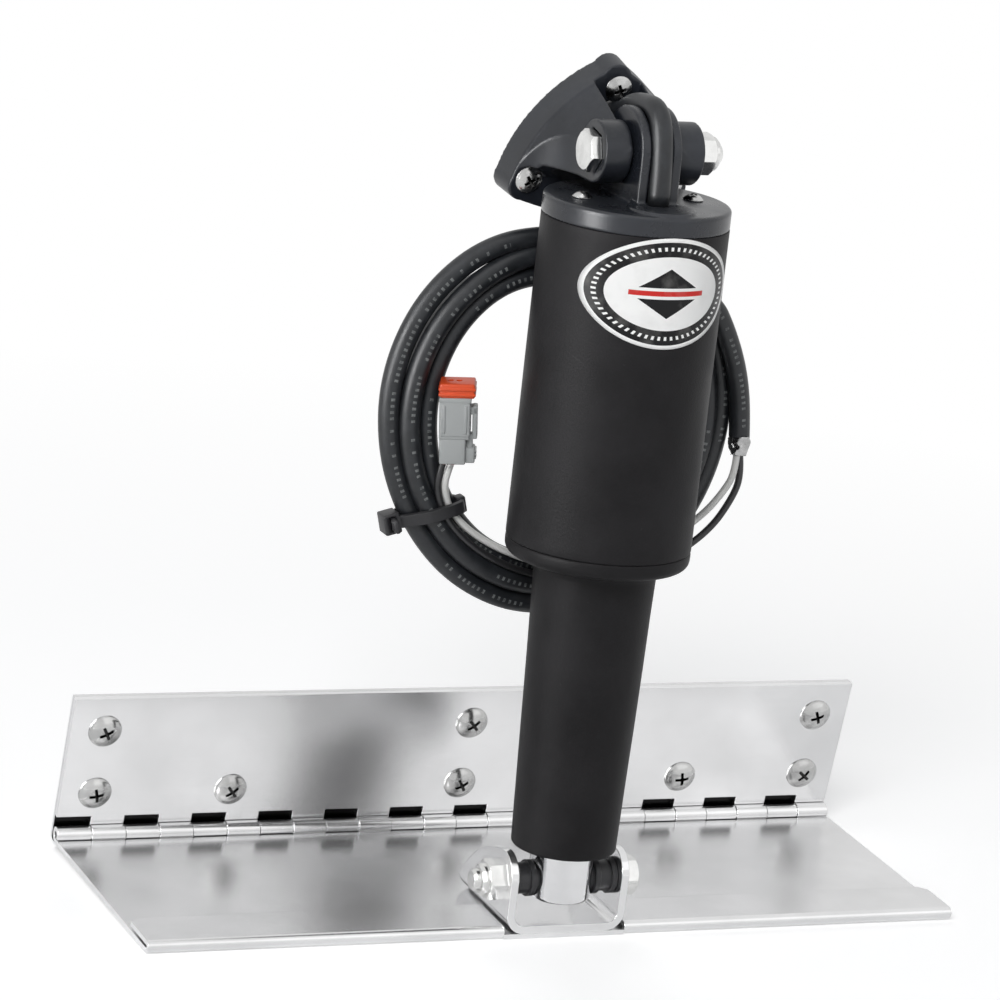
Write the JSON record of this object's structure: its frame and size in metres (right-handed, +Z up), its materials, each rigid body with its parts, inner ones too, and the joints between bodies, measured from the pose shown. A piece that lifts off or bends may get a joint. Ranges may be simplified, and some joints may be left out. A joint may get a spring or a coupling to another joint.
{
  "type": "boat trim tab",
  "caption": "Hinged stainless trim tab with an electric linear actuator, upper transom bracket and coiled lead.",
  "frame": {"origin": "centre of the hinge pin, halfway along the hinge", "axes": "+X along the hinge to starboard seen from behind the boat looking forward, -Y aft along the tab, +Z up"},
  "size_m": [0.3048, 0.1489, 0.3023],
  "materials": {
    "stainless_tab": "bright rolled stainless sheet",
    "stainless_leaf": "bright rolled stainless sheet",
    "stainless_backing": "bright rolled stainless sheet",
    "stainless_clevis": "bright bent stainless strip",
    "steel_pin": "drawn stainless wire",
    "bolt_steel": "bright stainless",
    "screw_steel": "polished stainless",
    "ram_steel": "polished",
    "nut_bronze": "turned bronze",
    "drive_steel": "machined steel",
    "gear_steel": "sintered steel",
    "can_steel": "drawn, zinc plated",
    "plate_aluminium": "machined",
    "housing_lower": "moulded, fine grain",
    "housing_upper": "moulded, fine grain",
    "cap_plastic": "moulded, satin",
    "bracket_plastic": "moulded, satin",
    "bushing_black": "turned acetal",
    "guide_plastic": "turned",
    "seal_rubber": "smooth",
    "label_film": "printed film",
    "cable_rubber": "smooth jacket",
    "tie_plastic": "nylon",
    "shrink_plastic": "shrunk tube",
    "wire_insulation": "insulation",
    "plug_grey": "moulded",
    "plug_orange": "moulded",
    "plug_seal": "silicone"
  },
  "bodies": {
    "tab": {"tab_blade": "stainless_tab", "lower_clevis": "stainless_clevis", "hinge_pin": "steel_pin", "lower_bolt": "bolt_steel", "lower_nut": "bolt_steel"},
    "leaf": {"transom_leaf": "stainless_leaf", "backing_plate": "stainless_backing", "transom_screws": "screw_steel"},
    "ram": {"ram": "ram_steel", "ram_nut": "nut_bronze", "lower_bushings": "bushing_black"},
    "housing": {"lower_housing": "housing_lower", "guide_bushing": "guide_plastic", "wiper_seal": "seal_rubber", "lower_seal_ring": "seal_rubber", "motor_housing": "housing_upper", "screw_bearing": "drive_steel", "ring_gear": "gear_steel", "gearbox_plate": "plate_aluminium", "motor_can": "can_steel", "top_cap": "cap_plastic", "upper_eye": "cap_plastic", "upper_seal_ring": "seal_rubber", "cap_screws": "screw_steel", "label": "label_film", "upper_bushings": "bushing_black", "cable_lead": "cable_rubber", "cable_coil": "cable_rubber", "cable_tie": "tie_plastic", "shrink_sleeve": "shrink_plastic", "conductors": "wire_insulation", "plug_body": "plug_grey", "plug_wedge": "plug_orange", "plug_seals": "plug_seal"},
    "screw": {"lead_screw": "drive_steel", "planet_carrier": "drive_steel"},
    "sun": {"motor_shaft": "drive_steel"},
    "planet_1": {"planet_gear_1": "gear_steel"},
    "planet_2": {"planet_gear_2": "gear_steel"},
    "planet_3": {"planet_gear_3": "gear_steel"},
    "bracket": {"upper_bracket": "bracket_plastic", "upper_bolt": "bolt_steel", "upper_nut": "bolt_steel", "bracket_screws": "screw_steel"}
  },
  "joints": [
    {"name": "leaf_hinge", "type": "hinge", "parent": "tab", "child": "leaf", "pos_m": [0, 0, 0], "axis": [1, 0, 0], "range_deg": [-60, 65]},
    {"name": "lower_pivot", "type": "hinge", "parent": "tab", "child": "ram", "pos_m": [0, -0.0947, 0.01316], "axis": [1, 0, 0], "range_deg": [-20, 35]},
    {"name": "ram_slide", "type": "slide", "parent": "ram", "child": "housing", "axis": [0, 0, 1], "range_m": [0, 0.05715]},
    {"name": "screw_turn", "type": "hinge", "parent": "housing", "child": "screw", "pos_m": [0, -0.0947, 0.14316], "axis": [0, 0, 1], "range_deg": [-5, 6485]},
    {"name": "sun_turn", "type": "hinge", "parent": "housing", "child": "sun", "pos_m": [0, -0.0947, 0.16116], "axis": [0, 0, 1], "range_deg": [-25, 32425]},
    {"name": "planet_1_turn", "type": "hinge", "parent": "screw", "child": "planet_1", "pos_m": [0.015, -0.0947, 0.16116], "axis": [0, 0, 1], "range_deg": [-17295, 15]},
    {"name": "planet_2_turn", "type": "hinge", "parent": "screw", "child": "planet_2", "pos_m": [-0.0075, -0.08171, 0.16116], "axis": [0, 0, 1], "range_deg": [-17295, 15]},
    {"name": "planet_3_turn", "type": "hinge", "parent": "screw", "child": "planet_3", "pos_m": [-0.0075, -0.10769, 0.16116], "axis": [0, 0, 1], "range_deg": [-17295, 15]},
    {"name": "upper_pivot", "type": "hinge", "parent": "housing", "child": "bracket", "pos_m": [0, -0.0947, 0.26946], "axis": [1, 0, 0], "range_deg": [-6, 30], "deforming": ["cable_lead"]}
  ],
  "couplings": [
    {"joint": "screw_turn", "follows": "ram_slide", "rad_per_m": 1979},
    {"joint": "sun_turn", "follows": "ram_slide", "rad_per_m": 9894.8},
    {"joint": "planet_1_turn", "follows": "ram_slide", "rad_per_m": -5277.2},
    {"joint": "planet_2_turn", "follows": "ram_slide", "rad_per_m": -5277.2},
    {"joint": "planet_3_turn", "follows": "ram_slide", "rad_per_m": -5277.2}
  ]
}
